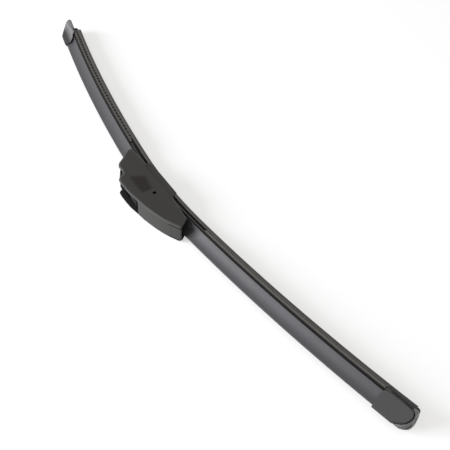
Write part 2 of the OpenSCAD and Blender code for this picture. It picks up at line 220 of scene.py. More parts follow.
def plate_mesh(name, outline, rims, corner, zones=None):
    """Stacks insets of an anticlockwise outline with round corners. Each rim is (inset, height)."""
    bm = bmesh.new()
    rings = [[on_plate(p, z) for p in soft_corners(inset(outline, d), max(corner - d, LEAST_R), 4)]
             for d, z in rims]
    add_skin(bm, rings, zones and (lambda i, j: zones[i]))
    return mesh_of(bm, name)


def block_mesh(name, low, high, zone):
    """A box of the connector between two corners (x, y, z), drawn from the middle station."""
    outline = [(low[0], low[1]), (high[0], low[1]), (high[0], high[1]), (low[0], high[1])]
    bm = bmesh.new()
    add_skin(bm, [[on_plate(p, z) for p in outline] for z in (low[2], high[2])], lambda i, j: zone)
    return mesh_of(bm, name)


def swap_mesh(obj, data):
    """Gives obj another mesh and deletes the one it had."""
    old = obj.data
    obj.data = data
    bpy.data.meshes.remove(old)


def carve(obj, *cutters):
    """Cuts each mesh out of obj and applies the result."""
    for data in cutters:
        tool = bpy.data.objects.new(data.name, data)
        bpy.context.scene.collection.objects.link(tool)
        cut = obj.modifiers.new("cut", "BOOLEAN")
        cut.operation = "DIFFERENCE"
        cut.solver = "EXACT"
        cut.object = tool
        bpy.context.view_layer.update()
        graph = bpy.context.evaluated_depsgraph_get()
        result = bpy.data.meshes.new_from_object(obj.evaluated_get(graph))
        obj.modifiers.clear()
        swap_mesh(obj, result)
        bpy.data.objects.remove(tool)
        bpy.data.meshes.remove(data)


# Sections of the extruded pieces, as (height, width) in millimetres

RAIL_HALF = 0.45
RAIL_IN = 1.0
RAIL_OUT = 5.2
SLOT_HALF = 0.51
HEAD_W = 2.1
WEB_W = 0.94
SHOULDER_W = 3.2
SHOULDER_LOW = -2.71
NECK_W = 0.45
WEDGE_W = 3.0
WEDGE_TOP = -4.01
LIP_DEPTH = 8.6
RIDGE_H = 9.7
LEAN = 3.2
FACE_LOW_W = 4.8
FACE_HOLLOW = 1.7 * Vector((0.73, 0.68))
FACE_STEPS = 18
FOOT_W = 3.1
BACK_LOW_W = 5.3
HOOK_H = 1.56
HOOK_IN = 4.2
CLAW_W = 6.5
RAIL_FIT = 0.06
HEAD_FIT = 0.1

# Runs of the extruded pieces, as stations along the blade line

RUBBER_REACH = 20.9
RAIL_REACH = 13
BARE_RUBBER = (-70.0, 58.0)
# Each spoiler's node, its ends, the stretch where its claws are cut back, and the claws' top
SPOILERS = (
    ("spoiler_outer", (35.0, OUTER_CAP + 5), (33.0, 58.0), 0.5),
    ("spoiler_inner", (-46.0, INNER_CAP - 10), (-44.0, -68.0), 0.1),
)
CLAW_CUT = ((-3.0, 4.0), (0.97, 4.0), (0.97, 8.0), (-3.0, 8.0))
# The short ribs in the neck's groove: where each row starts and stops, and a rib's length
RIB_ROWS = ((-274.5, -70.0, 2.5), (62.0, 258.0, 4.7))
RIB_PITCH = 5
RIB_TOP = (SHOULDER_LOW + 0.6, 3.15)
RIB_FOOT = (WEDGE_TOP - 0.3, 3.0)


def rubber_section():
    """Section of the wiping rubber, with head, rail slots, shoulder, neck and wedge."""
    half = [
        (SLOT_HALF + 1.0, HEAD_W, 0.3), (SLOT_HALF, HEAD_W, 0.12), (SLOT_HALF, WEB_W, 0.1),
        (-SLOT_HALF, WEB_W, 0.1), (-SLOT_HALF, SHOULDER_W, 0.2),
        (SHOULDER_LOW + 0.5, SHOULDER_W, 0.3), (SHOULDER_LOW, SHOULDER_W - 0.6, 0.3),
        (SHOULDER_LOW, NECK_W + 0.2, 0.1), (SHOULDER_LOW - 0.2, NECK_W, 0.1),
        (WEDGE_TOP + 0.2, NECK_W, 0.1), (WEDGE_TOP, NECK_W + 0.2, 0.1),
        (WEDGE_TOP, WEDGE_W - 0.3, 0.25), (WEDGE_TOP - 0.5, WEDGE_W, 0.3),
        (-LIP_DEPTH + 2.2, 0.75, 0.8), (-LIP_DEPTH, 0.4, 0.06),
    ]
    return half + [(p[0], -p[1], p[2]) for p in reversed(half)]


def spoiler_section(claw_top):
    """Section of a spoiler: hollow face, claws round the rails, room for the head, and back."""
    base = SLOT_HALF + 0.45
    foot = base + 0.8
    top = Vector((RIDGE_H - 0.35, -LEAN + 0.6))
    edge = Vector((foot, FACE_LOW_W))
    bow = (top + edge) / 2 - FACE_HOLLOW
    face = []
    for i in range(FACE_STEPS + 1):
        t = i / FACE_STEPS
        p = (1 - t) ** 2 * top + 2 * t * (1 - t) * bow + t * t * edge
        face.append((p.x, p.y, 0.25 if i in (0, FACE_STEPS) else 0.0))
    under = [(foot - 0.25, FACE_LOW_W, 0.12), (foot - 0.25, FOOT_W, 0.15)]
    claw = [
        (base, FOOT_W, 0.15), (base, CLAW_W - 1.2, 0.2), (claw_top, CLAW_W, 0.2),
        (-HOOK_H + 0.3, CLAW_W, 0.2), (-HOOK_H, CLAW_W - 0.3, 0.2), (-HOOK_H, HOOK_IN, 0.15),
        (-SLOT_HALF, HOOK_IN, 0.1), (-SLOT_HALF, RAIL_OUT + RAIL_FIT, 0.1),
        (SLOT_HALF, RAIL_OUT + RAIL_FIT, 0.1),
    ]
    room = SLOT_HALF + 1.1
    head = HEAD_W + HEAD_FIT
    inside = [(SLOT_HALF, head, 0.1), (room, head, 0.2),
              (room, -head, 0.2), (SLOT_HALF, -head, 0.1)]
    lee = [(p[0], -p[1], p[2]) for p in reversed(claw[1:])]
    back = [(foot, -BACK_LOW_W, 0.4), (RIDGE_H * 0.55, -LEAN - 1.4, 3.0),
            (RIDGE_H - 0.3, -LEAN - 0.6, 0.3), (RIDGE_H, -LEAN, 0.3)]
    return face + under + claw + inside + lee + back


def rubber_zone(h, w, s):
    """One on the shoulder where no claws stand over it, next to the connector."""
    return 1.0 if h > WEDGE_TOP + 0.1 and BARE_RUBBER[0] < s < BARE_RUBBER[1] else 0.0


def spoiler_painted_light_zone(h, w, s):
    """Nought on the face; one on the claws, whose lighter tone is painted light, and a little more
    on the far half's claws, for painted shade; two in the groove between them, which is painted
    shade.
    """
    if h > SLOT_HALF + 1.1 or abs(w) < FOOT_W - 0.1:
        return 0.0
    if h > 0.0 and abs(w) < CLAW_W - 0.02:
        return 2.0
    return 1.0 if s > 0 else 1.25


# Connector cover, drawn from the middle station in millimetres

COVER_W = 7.8
COVER_T = 1.3
COVER_R = 1.6
TOP_EDGE = 4.0
TIP_X = 47.7
TIP_R = 4.4
COVER_TOP = [(4, -25.4), (11.5, -24.4), (24.5, -21.3), (32, -18.9), (38.5, -16.2), (45, -12.8),
             (47.7, -11.2)]
COVER_FAR = [(-57.3, 0.9), (-58, -2.9), (-54.3, -7.5), (-50.1, -11.8), (-45.9, -17),
             (-42.8, -19.1), (-40, -19.8), (-35.4, -19.6), (-32, -20.4), (-29.7, -22.2),
             (-28.3, -25), (-26.8, -26.5), (-24.8, -27.15), (-21, -27.43), (-13, -27.43),
             (-6, -27.05)]
COVER_LOW = [(40.1, -2.1), (15.1, 0.2), (12.6, 0.6), (11.6, 4.9), (9.6, 5.7), (-28.8, 5.9),
             (-31.6, 5.2), (-33.8, 1.6)]
FINGER_RECESS = [(-27.2, -19), (-9.5, -20), (-0.4, -19), (-0.8, -9.4), (-2.8, -7), (-19.6, -4.8)]
LOBE = [(-31.9, -0.9), (14.4, -0.9), (14.4, 9.6), (-31.9, 9.6)]
LEDGE = [(-27.9, 2.01), (8.4, 2.01), (8.4, 2.91), (-27.9, 2.91)]
LEDGE_SIDE = (4.9, 7.2)
SLIT = ((37.4, -30), (57.4, -10))
SLIT_SIDE = (5.3, 6.0)
WINDOW = ((0.7, -11.2), (3.9, -8.4))

# The cover's zones: nought is its own tone, one the recess's and two the inner plastic's, which is
# painted shade on the walls inside the cover, its slit and its window
# The cheeks are painted shade, this share of the way to the recess's tone, so that they are darker
# than the top band
CHEEK_PAINTED_SHADE = 0.44
INSIDE_PAINTED_SHADE_ZONE = 2.0
# Rings of the recess from its floor out to the cheek, as (inset, rise, zone)
RECESS_RINGS = [(4.4, -0.35, 1.0), (3.7, -0.33, 0.96), (3.0, -0.29, 0.88), (2.3, -0.22, 0.78),
                (1.6, -0.14, 0.66), (0.9, -0.07, 0.56), (0.2, -0.02, 0.48), (-0.3, 0.06, CHEEK_PAINTED_SHADE),
                (-0.6, 0.3, CHEEK_PAINTED_SHADE)]
# Rings of the step down to the lobe, in the same way
LOBE_RINGS = [(0.9, -0.5, CHEEK_PAINTED_SHADE), (0.5, -0.42, CHEEK_PAINTED_SHADE), (0.15, -0.1, CHEEK_PAINTED_SHADE), (-0.4, 0.6, CHEEK_PAINTED_SHADE)]


def side_cut(name, outline, rings, side, corner):
    """A cutter that sinks an outline into one cheek of the cover."""
    return plate_mesh(name, outline, [(d, side * (COVER_W + z)) for d, z, zone in rings], corner,
                      [zone for d, z, zone in rings])


def tip_corner_cut():
    """The cutter that rounds the lower corner of the cover's tip."""
    beyond = TIP_X + 0.9
    under = -COVER_W - 1.0
    corner = [on_plate((TIP_X - TIP_R + TIP_R * sin(a), 0), -COVER_W + TIP_R - TIP_R * cos(a))
              for a in QUARTER]
    corner += [on_plate((beyond, 0), -COVER_W + TIP_R), on_plate((beyond, 0), under),
               on_plate((TIP_X - TIP_R, 0), under)]
    bm = bmesh.new()
    add_skin(bm, [[Vector((p.x, (y - SEAT[1]) * MM, p.z)) for p in corner] for y in (-30, 0)])
    return mesh_of(bm, "corner_cut")


def cover_cutters():
    """Everything that is cut out of the cover's plate."""
    room = [(-70, -50), (TOP_EDGE, -50)] + [(x, y + COVER_T) for x, y in COVER_TOP] + [
        (60, -3), (60, 20), (-70, 20)]
    inner = COVER_W - COVER_T
    cutters = [plate_mesh("room_cut", room, [(0, -inner), (0, inner)], 0.0, [INSIDE_PAINTED_SHADE_ZONE] * 2)]
    for side in (1, -1):
        cutters.append(side_cut("recess_cut", FINGER_RECESS, RECESS_RINGS, side, 3.0))
        cutters.append(side_cut("lobe_cut", LOBE, LOBE_RINGS, side, 0.5))
        low, high = sorted(side * z for z in SLIT_SIDE)
        cutters.append(block_mesh("slit_cut", (*SLIT[0], low), (*SLIT[1], high), INSIDE_PAINTED_SHADE_ZONE))
    cutters.append(block_mesh("window_cut", (*WINDOW[0], -10), (*WINDOW[1], 10), INSIDE_PAINTED_SHADE_ZONE))
    cutters.append(tip_corner_cut())
    return cutters


# End caps, drawn as length from the cap's mouth, height and width

CAP_H = 11.2
CAP_W = 7.3
CAP_FIT = 0.12
# Rings along a cap, closer together over its last stretch, which is as long as CAP_TIP
CAP_TIP = 3.0
RUN_RINGS = 24
TIP_RINGS = 14
# Height where the face's front edge starts, and heights past the ridge and past the lip
FACE_FOOT = 2.6
ABOVE = 14
BELOW = -12
OUTER_TIP = [(18, 12.2), (21.6, 10.6), (24, 8.6), (25.4, 6.4), (26, 4), (26, 1.4),
             (25.6, -1.6), (24.6, -5), (23.3, -7.2), (21.6, -8.2), (19, -12)]
OUTER_FACE = [(11.8, 14), (14, 11.4), (17.6, 9.9), (21.2, 8.5), (23.5, 6.9), (24.7, 5),
              (24.9, 3.4), (24.4, 2), (22.2, 1), (14.2, -0.2), (6.6, -0.6), (3.8, 0.2)]
INNER_TIP = [(14, 12), (20.4, 10.4), (26, 7.6), (30.4, 4.6), (32.3, 3.2), (32.9, 2.4, 0.2),
             (31.4, -2.6, 0.2), (14, -12)]
INNER_FACE = [(14.6, 13), (20.4, 10.6), (26, 7.6), (30.4, 4.9), (32, 3.7), (32.3, 3),
              (28, 2.5), (20, 2.2), (14, 1.4), (10.6, 0.2), (8, -0.2), (4, 1.2)]
INNER_FRONT = [(2, 11), (-1.2, 9), (-2.9, 7.4), (-3.3, 6), (-2.1, 4), (1, 3), (3.5, 2.6),
               (9, -0.4)]


def outer_face_painted_shade(l, h):
    """Zone of the outer cap's face, nought being the caps' own tone and one the groove's: painted
    shade, most of the way on the face and all of it on the low flank.
    """
    return 0.77 if h > 0.2 else 1.0


def inner_face_painted_reflection(l, h):
    """Zone of the inner cap's face, a painted reflection that lightens from its front and top to
    its tip; its low flank is all painted shade.
    """
    return min(max((h - FACE_FOOT) / 5 - max(l - 18, 0) / 25, 0.0), 0.94) if h > -0.3 else 1.0


# Each cap: its mouth's station, its way along the line, length, low end of the section, outlines
# of body and face, front edge, depth of the room for the claws, top of the rim's low band, width
# of the groove round the face, and the face's zone
CAPS = {
    "end_cap_outer": dict(
        start=OUTER_CAP, way=1, length=26.0, low=-7.7, tip=OUTER_TIP, face_tip=OUTER_FACE,
        front=[(0, FACE_FOOT)], claws=5.0, band=-20.0, groove=0.75, face_zone=outer_face_painted_shade),
    "end_cap_inner": dict(
        start=INNER_CAP, way=-1, length=32.9, low=-1.9, tip=INNER_TIP, face_tip=INNER_FACE,
        front=INNER_FRONT, claws=10.0, band=2.6, groove=0.25, face_zone=inner_face_painted_reflection),
}


def cap_section(d, low):
    """Section of a cap as (height, width), drawn in by d and cut off at its low end."""
    half = [(-0.9, CAP_W - 0.2 - d), (0.4, CAP_W - d), (1.5, CAP_W - 0.2 - d)]
    top = [(CAP_H - 0.8 - d, -LEAN + 1.1), (CAP_H - d, -LEAN - 0.2), (CAP_H - 0.4 - d, -LEAN - 1.2)]
    if low < -3:
        foot = [(low + d, -1.3 + d / 2), (low + d, 1.3 - d / 2), (low + 1.3 + d / 2, 2.5 - d)]
        last = [(low + 1.3 + d / 2, -2.5 + d)]
    else:
        foot = [(low + d, -CAP_W + 0.8 + d), (low + d, CAP_W - 0.8 - d)]
        last = []
    return foot + half + top + [(h, -w) for h, w in reversed(half)] + last


def span(outline, at):
    """Lowest and highest second value of an outline where its first value is at."""
    hits = []
    for i, p in enumerate(outline):
        q = outline[i - 1]
        if (p[0] - at) * (q[0] - at) <= 0 and p[0] != q[0]:
            hits.append(q[1] + (p[1] - q[1]) * (at - q[0]) / (p[0] - q[0]))
    return (min(hits), max(hits)) if hits else None


def dense(outline, step):
    """Adds points to a closed outline, so that none are much further apart than step."""
    points = []
    for i, p in enumerate(outline):
        q = outline[(i + 1) % len(outline)]
        parts = max(1, int((q - p).length / step))
        points += [p + (q - p) * k / parts for k in range(parts)]
    return points


def cap_point(start, way, l, h, w):
    """The point of a cap at length l from its mouth, height h and width w, in metres."""
    a = turn_at(start)
    return line_point(start, 0.0) + MM * Vector(
        (way * l * cos(a) + h * sin(a), way * l * sin(a) - h * cos(a), w))


def cap_shell(start, way, section, plan, r, zone_of):
    """A cap's body whose section is cut to its plan (length, height), with edges rounded by r."""

    def drawn_in(part):
        """How far a rounded edge draws in, where part grows from nought to one at its very end."""
        return r * (1 - sqrt(max(0.0, 1 - part * part)))

    plan = soft_corners(plan, 2.2, 4)
    length = max(p.x for p in plan)
    first = min(p.x for p in plan)
    outline = dense(soft_corners(section, 0.5, 3), 0.6)
    run = length - first - (CAP_TIP + 0.01)
    steps = [first + 0.01 + run * i / RUN_RINGS for i in range(RUN_RINGS)]
    steps += [length - CAP_TIP * (1 - sin(pi / 2 * i / TIP_RINGS)) - 0.004
              for i in range(TIP_RINGS + 1)]
    rings, zones = [], []
    for l in steps:
        low, high = span(plan, l)
        end_in = drawn_in(max(0.0, (l - (length - r)) / r))
        ring, marks = [], []
        for p in outline:
            h = min(max(p.x, low), high)
            edge = min(h - low, high - h) if low < p.x < high else 0.0
            trimmed = high < CAP_H - 0.3 or low > section[0][0] + 0.3 or end_in
            cut = max(end_in, drawn_in(max(0.0, 1 - edge / r))) if trimmed else 0.0
            across = span(outline, h) or (p.y, p.y)
            middle = sum(across) / 2
            half = max(1e-6, (across[1] - across[0]) / 2)
            part = max(-1.0, min(1.0, (p.y - middle) / half))
            ring.append(cap_point(start, way, l, h, middle + part * max(0.05, half - cut)))
            marks.append(zone_of(l, h))
        rings.append(ring)
        zones.append(marks)
    bm = bmesh.new()
    add_skin(bm, rings, lambda i, j: zones[min(i, len(zones) - 1)][j])
    return mesh_of(bm, "cap_shell")


def cap_prism(start, way, outline, ends, along):
    """A straight cutter: a section run lengthwise where along is true, else a plan run across."""
    bm = bmesh.new()
    if along:
        rings = [[cap_point(start, way, l, h, w) for h, w in outline] for l in ends]
    else:
        rings = [[cap_point(start, way, p[0], p[1], w) for p in outline] for w in ends]
    add_skin(bm, rings)
    return mesh_of(bm, "cap_cut")


def cap_room(start, way, claws):
    """The room in a cap for the ends of the spoiler and its claws, the rails and the rubber."""
    hook = HOOK_H + CAP_FIT
    claw = CLAW_W + CAP_FIT
    foot = SLOT_HALF + 1.25
    ends = [(-hook, claw), (foot - 0.2, claw), (RIDGE_H * 0.55, 2.6),
            (RIDGE_H + 0.2, -LEAN + 0.9), (RIDGE_H + 0.2, -LEAN - 0.9),
            (RIDGE_H * 0.55, -LEAN - 1.7), (foot, -claw), (-hook, -claw)]
    thick, wide = SLOT_HALF + 0.1, RAIL_OUT + 0.2
    rail = [(-thick, -wide), (-thick, wide), (thick, wide), (thick, -wide)]
    half = [(SLOT_HALF + 1.2, HEAD_W + 0.2), (-SLOT_HALF, HEAD_W + 0.2),
            (-SLOT_HALF, SHOULDER_W + 0.2), (SHOULDER_LOW - 0.2, SHOULDER_W + 0.2),
            (WEDGE_TOP - 0.5, WEDGE_W + 0.2), (-LIP_DEPTH - 1, 0.75)]
    lip = half + [(h, -w) for h, w in reversed(half)]
    runs = ((ends, claws + 0.4), (rail, RAIL_REACH + 0.4), (lip, RUBBER_REACH + 0.5))
    return [cap_prism(start, way, outline, (-10.0, reach), True) for outline, reach in runs]


def cap_mesh(start, way, length, low, tip, face_tip, front, claws, band, groove, face_zone):
    """A cap in three layers: body, rim round the tip, and raised face, with a groove round it."""
    body = [(front[-1][0], BELOW), *tip[::-1], (front[0][0], ABOVE), *front]
    edge = [(front[0][0], ABOVE), *(p for p in front if p[1] >= FACE_FOOT)]
    face = [*face_tip[::-1], *edge]
    grown_face = [*face_tip[::-1], *((l - 3, h) for l, h in edge)]

    def rim_painted_light_zone(l, h):
        """Two, a painted highlight, on the rim round the tip and on its low band, and one, painted
        shade, elsewhere.
        """
        near_tip = (h > 6 and l > 13) or (h > -2 and l > length - 4.5)
        return 2.0 if near_tip or (l > 12 and h < band) else 1.0

    bm = bmesh.new()
    # Each layer: how far its section is drawn in, its outline, its rounding, and its zone; the
    # body, seen in the groove round the face, is all painted shade
    for deep, plan, r, grooved, zone_of in (
            (2.0, body, 0.9, False, lambda l, h: 1.0),
            (0.3, body, 0.8, True, rim_painted_light_zone),
            (0.0, face, 0.3, False, face_zone)):
        shell = cap_shell(start, way, cap_section(deep, low), plan, r, zone_of)
        layer = bpy.data.objects.new("cap_layer", shell)
        bpy.context.scene.collection.objects.link(layer)
        cutters = cap_room(start, way, claws)
        if grooved:
            cutters.append(cap_prism(start, way, inset(grown_face, -groove), (-10.0, 10.0), False))
        carve(layer, *cutters)
        bm.from_mesh(layer.data)
        shell = layer.data
        bpy.data.objects.remove(layer)
        bpy.data.meshes.remove(shell)
    return mesh_of(bm, "cap")


# Finishes

# Painted shade, for the spoiler's groove and for the caps' groove, flanks and darkened faces
GROOVE_PAINTED_SHADE_TONE = (0.004, 0.004, 0.004)
# Painted highlight, for the rim round a cap's tip
CAP_RIM_PAINTED_HIGHLIGHT_TONE = (0.15, 0.15, 0.145)
SHADED_RUBBER_TONE = (0.008, 0.007, 0.006)
RAIL_TONE = (0.014, 0.014, 0.015)
PIN_TONE = (0.46, 0.46, 0.48)


def add_node(tree, kind, **values):
    """Adds a shader node and sets the values of the node itself."""
    node = tree.nodes.new(kind)
    for key, value in values.items():
        setattr(node, key, value)
    return node


def fill(node, values):
    """Sets a node's inputs, each by its name or its number."""
    for key, value in values.items():
        node.inputs[key].default_value = value
    return node


def new_group(name, inputs, outputs):
    """A shader node group with named inputs (name, kind, default) and outputs (name, kind)."""
    tree = bpy.data.node_groups.new(name, "ShaderNodeTree")
    for label, kind, default in inputs:
        socket = tree.interface.new_socket(label, in_out="INPUT", socket_type=kind)
        if default is not None:
            socket.default_value = default
    for label, kind in outputs:
        tree.interface.new_socket(label, in_out="OUTPUT", socket_type=kind)
    return tree, tree.nodes.new("NodeGroupInput"), tree.nodes.new("NodeGroupOutput")


def moulded_grain_group():
    """Fine sparked grain of moulded plastic with a broad unevenness of gloss and tone."""
    tree, ins, outs = new_group("Moulded grain", [
        ("Vector", "NodeSocketVector", None), ("Grain Scale", "NodeSocketFloat", 2600.0),
        ("Gloss", "NodeSocketFloat", 0.45), ("Gloss Change", "NodeSocketFloat", 0.1),
        ("Tone", "NodeSocketColor", (0.05, 0.05, 0.05, 1.0)),
        ("Tone Change", "NodeSocketFloat", 0.15),
    ], [
        ("Height", "NodeSocketFloat"), ("Roughness", "NodeSocketFloat"),
        ("Color", "NodeSocketColor"),
    ])
    link = tree.links.new
    grain = fill(add_node(tree, "ShaderNodeTexNoise"), {"Detail": 2.0, "Roughness": 0.6})
    link(ins.outputs["Vector"], grain.inputs["Vector"])
    link(ins.outputs["Grain Scale"], grain.inputs["Scale"])
    cloud = fill(add_node(tree, "ShaderNodeTexNoise"), {"Scale": 55.0, "Detail": 3.0})
    link(ins.outputs["Vector"], cloud.inputs["Vector"])
    sway = fill(add_node(tree, "ShaderNodeMath", operation="SUBTRACT"), {1: 0.5})
    link(cloud.outputs["Fac"], sway.inputs[0])
    rough = add_node(tree, "ShaderNodeMath", operation="MULTIPLY_ADD")
    link(sway.outputs[0], rough.inputs[0])
    link(ins.outputs["Gloss Change"], rough.inputs[1])
    link(ins.outputs["Gloss"], rough.inputs[2])
    tone = fill(add_node(tree, "ShaderNodeMath", operation="MULTIPLY_ADD"), {2: 1.0})
    link(sway.outputs[0], tone.inputs[0])
    link(ins.outputs["Tone Change"], tone.inputs[1])
    tinted = add_node(tree, "ShaderNodeVectorMath", operation="SCALE")
    link(ins.outputs["Tone"], tinted.inputs[0])
    link(tone.outputs[0], tinted.inputs["Scale"])
    link(grain.outputs["Fac"], outs.inputs["Height"])
    link(rough.outputs[0], outs.inputs["Roughness"])
    link(tinted.outputs[0], outs.inputs["Color"])
    return tree


def drawn_lines_group():
    """Fine lines along an extruded piece, from its own lengthwise coordinates."""
    tree, ins, outs = new_group("Drawn lines", [
        ("UV", "NodeSocketVector", None), ("Line Scale", "NodeSocketFloat", 2400.0),
    ], [("Height", "NodeSocketFloat")])
    link = tree.links.new
    stretch = fill(add_node(tree, "ShaderNodeVectorMath", operation="MULTIPLY"),
                   {1: (0.02, 1.0, 1.0)})
    link(ins.outputs["UV"], stretch.inputs[0])
    fine = fill(add_node(tree, "ShaderNodeTexNoise"), {"Detail": 1.0})
    link(stretch.outputs[0], fine.inputs["Vector"])
    link(ins.outputs["Line Scale"], fine.inputs["Scale"])
    link(fine.outputs["Fac"], outs.inputs["Height"])
    return tree


def shader_base(name, metallic=0.0, specular=0.5):
    """A new material, with its node tree and its Principled shader."""
    material = bpy.data.materials.new(name)
    material.use_nodes = True
    tree = material.node_tree
    shader = fill(tree.nodes["Principled BSDF"],
                  {"Metallic": metallic, "Specular IOR Level": specular, "IOR": 1.5})
    return material, tree, shader


def put_group(tree, group, **values):
    """Places a shared node group in a tree, with values for its inputs."""
    node = tree.nodes.new("ShaderNodeGroup")
    node.node_tree = bpy.data.node_groups[group]
    fill(node, {key.replace("_", " "): value for key, value in values.items()})
    return node


def grained(name, tone, gloss, grain_scale, bump, metallic=0.0, specular=0.5, gloss_change=0.1,
            tone_change=0.15, lines=0.0, zones=()):
    """Moulded plastic, rubber or steel with a grain whose relief is bump metres deep.

    With lines over nought it also carries drawn lines along it. Zones are further pairs of tone
    and gloss, taken by faces whose zone is one or two."""
    material, tree, shader = shader_base(name, metallic, specular)
    link = tree.links.new
    where = tree.nodes.new("ShaderNodeTexCoord")
    grain = put_group(tree, "Moulded grain", Grain_Scale=grain_scale, Gloss=gloss,
                      Gloss_Change=gloss_change, Tone=(*tone, 1.0), Tone_Change=tone_change)
    link(where.outputs["Object"], grain.inputs["Vector"])
    # A Mix node's sockets go by number: colours are inputs 6 and 7 and output 2, floats are
    # inputs 2 and 3 and output 0
    if zones:
        mark = add_node(tree, "ShaderNodeAttribute", attribute_name="zone").outputs["Fac"]
    for step, (other_tone, other_gloss) in enumerate(zones):
        pair = [fill(add_node(tree, "ShaderNodeMix", data_type="RGBA", clamp_factor=True),
                     {6: (*tone, 1.0), 7: (*other_tone, 1.0)}),
                fill(add_node(tree, "ShaderNodeMix", data_type="FLOAT", clamp_factor=True),
                     {2: gloss, 3: other_gloss})]
        for mix in pair:
            link(mark, mix.inputs[0])
        if step:
            link(last_tone, pair[0].inputs[6])
            link(last_gloss, pair[1].inputs[2])
        last_tone, last_gloss = pair[0].outputs[2], pair[1].outputs[0]
        link(last_tone, grain.inputs["Tone"])
        link(last_gloss, grain.inputs["Gloss"])
        less = fill(add_node(tree, "ShaderNodeMath", operation="SUBTRACT"), {1: 1.0})
        link(mark, less.inputs[0])
        mark = less.outputs[0]
    height = grain.outputs["Height"]
    if lines:
        drawn = put_group(tree, "Drawn lines")
        link(where.outputs["UV"], drawn.inputs["UV"])
        mix = fill(add_node(tree, "ShaderNodeMath", operation="MULTIPLY_ADD"), {1: lines})
        link(drawn.outputs["Height"], mix.inputs[0])
        link(height, mix.inputs[2])
        height = mix.outputs[0]
    relief = fill(add_node(tree, "ShaderNodeBump"), {"Strength": 1.0, "Distance": bump})
    link(height, relief.inputs["Height"])
    link(grain.outputs["Color"], shader.inputs["Base Color"])
    link(grain.outputs["Roughness"], shader.inputs["Roughness"])
    link(relief.outputs["Normal"], shader.inputs["Normal"])
    return material


def paint(obj, finish):
    """Gives an object the finish of that name."""
    obj.data.materials.clear()
    obj.data.materials.append(bpy.data.materials[finish])


# Settings that a user would change

class BladeFinish(bpy.types.PropertyGroup):
    """Colours of the blade's finishes"""
    spoiler_tone: FloatVectorProperty(
        name="Spoiler", description="Colour of the spoilers", subtype="COLOR", size=3,
        min=0.0, max=1.0, default=(0.052, 0.052, 0.057))
    cover_tone: FloatVectorProperty(
        name="Cover", description="Colour of the connector cover", subtype="COLOR", size=3,
        min=0.0, max=1.0, default=(0.046, 0.046, 0.0435))
    # The recess's tone also darkens the cheeks, as painted shade
    recess_and_cheek_shade_tone: FloatVectorProperty(
        name="Recess", description="Colour of the cover's worn finger recess", subtype="COLOR",
        size=3, min=0.0, max=1.0, default=(0.006, 0.003, 0.002))
    # The claws' tone is painted light, a lighter copy of the spoiler's own plastic
    claw_painted_light_tone: FloatVectorProperty(
        name="Claws", description="Colour of the claws under the spoiler's face", subtype="COLOR",
        size=3, min=0.0, max=1.0, default=(0.145, 0.138, 0.125))
    # The caps' tone is the light end of their painted reflection; their zones darken it with
    # painted shade
    cap_tone_with_painted_light: FloatVectorProperty(
        name="Caps", description="Colour of the end caps", subtype="COLOR", size=3,
        min=0.0, max=1.0, default=(0.170, 0.170, 0.174))
    rubber_tone: FloatVectorProperty(
        name="Rubber", description="Colour of the wiping rubber", subtype="COLOR", size=3,
        min=0.0, max=1.0, default=(0.080, 0.073, 0.067))
    # The inner plastic's tone is also painted shade on the walls inside the cover
    inner_plastic_and_shade_tone: FloatVectorProperty(
        name="Inner plastic", description="Colour of the base, the adapter and its button",
        subtype="COLOR", size=3, min=0.0, max=1.0, default=(0.006, 0.006, 0.006))


class BladeRound(bpy.types.PropertyGroup):
    """Rounding and fineness of the pieces"""
    edge: FloatProperty(
        name="Edge rounding", description="Rounding of the small moulded edges", subtype="DISTANCE",
        unit="LENGTH", min=0.00005, max=0.0006, default=0.00025)
    pitch: FloatProperty(
        name="Ring pitch", description="Distance between the rings of the swept pieces",
        subtype="DISTANCE", unit="LENGTH", min=0.002, max=0.012, default=0.004)


class StudioLight(bpy.types.PropertyGroup):
    """Light and floor of the studio"""
    key_power: FloatProperty(
        name="Key light", description="Power of the low window light on the ridge side",
        unit="POWER", min=0.0, default=48.0)
    sky: FloatProperty(
        name="Sky", description="Strength of the even light from all round", min=0.0, max=2.0,
        default=0.32)
    floor_tone: FloatVectorProperty(
        name="Floor", description="Colour of the floor", subtype="COLOR", size=3,
        min=0.0, max=1.0, default=(0.82, 0.82, 0.82))
    floor_glow: FloatProperty(
        name="Floor glow", min=0.0, max=2.0, default=0.56,
        description="Light that the camera sees in the floor beside its own tone")


class WIPER_OT_finishes(bpy.types.Operator):
    """Makes the shared node groups and all materials"""
    bl_idname = "wiper.finishes"
    bl_label = "Finishes"

    def execute(self, context):
        look = context.scene.wiper_finish
        moulded_grain_group()
        drawn_lines_group()
        # Name, tone, gloss, scale of the grain, and depth of its relief in metres
        # The zones paint light on the spoiler's claws and shade in its groove, shade and a
        # highlight on the caps, and shade on the cover's cheeks and inside
        grained("Spoiler plastic", look.spoiler_tone, 0.5, 2600.0, 0.000012, lines=0.6,
                specular=0.35, zones=((look.claw_painted_light_tone, 0.5), (GROOVE_PAINTED_SHADE_TONE, 0.95)))
        grained("Cap plastic", look.cap_tone_with_painted_light, 0.32, 3200.0, 0.000005,
                zones=((GROOVE_PAINTED_SHADE_TONE, 0.9), (CAP_RIM_PAINTED_HIGHLIGHT_TONE, 0.25)))
        grained("Cover plastic", look.cover_tone, 0.6, 2200.0, 0.00002, specular=0.4,
                zones=((look.recess_and_cheek_shade_tone, 0.85), (look.inner_plastic_and_shade_tone, 0.8)))
        grained("Wiping rubber", look.rubber_tone, 0.5, 3000.0, 0.000008, specular=0.4, lines=0.8,
                zones=((SHADED_RUBBER_TONE, 0.8),))
        grained("Inner plastic", look.inner_plastic_and_shade_tone, 0.3, 2400.0, 0.000012)
        grained("Rail steel", RAIL_TONE, 0.35, 3600.0, 0.000006, lines=0.5)
        grained("Pin steel", PIN_TONE, 0.32, 5200.0, 0.000004, metallic=1.0, gloss_change=0.12,
                tone_change=0.1)
        return {"FINISHED"}


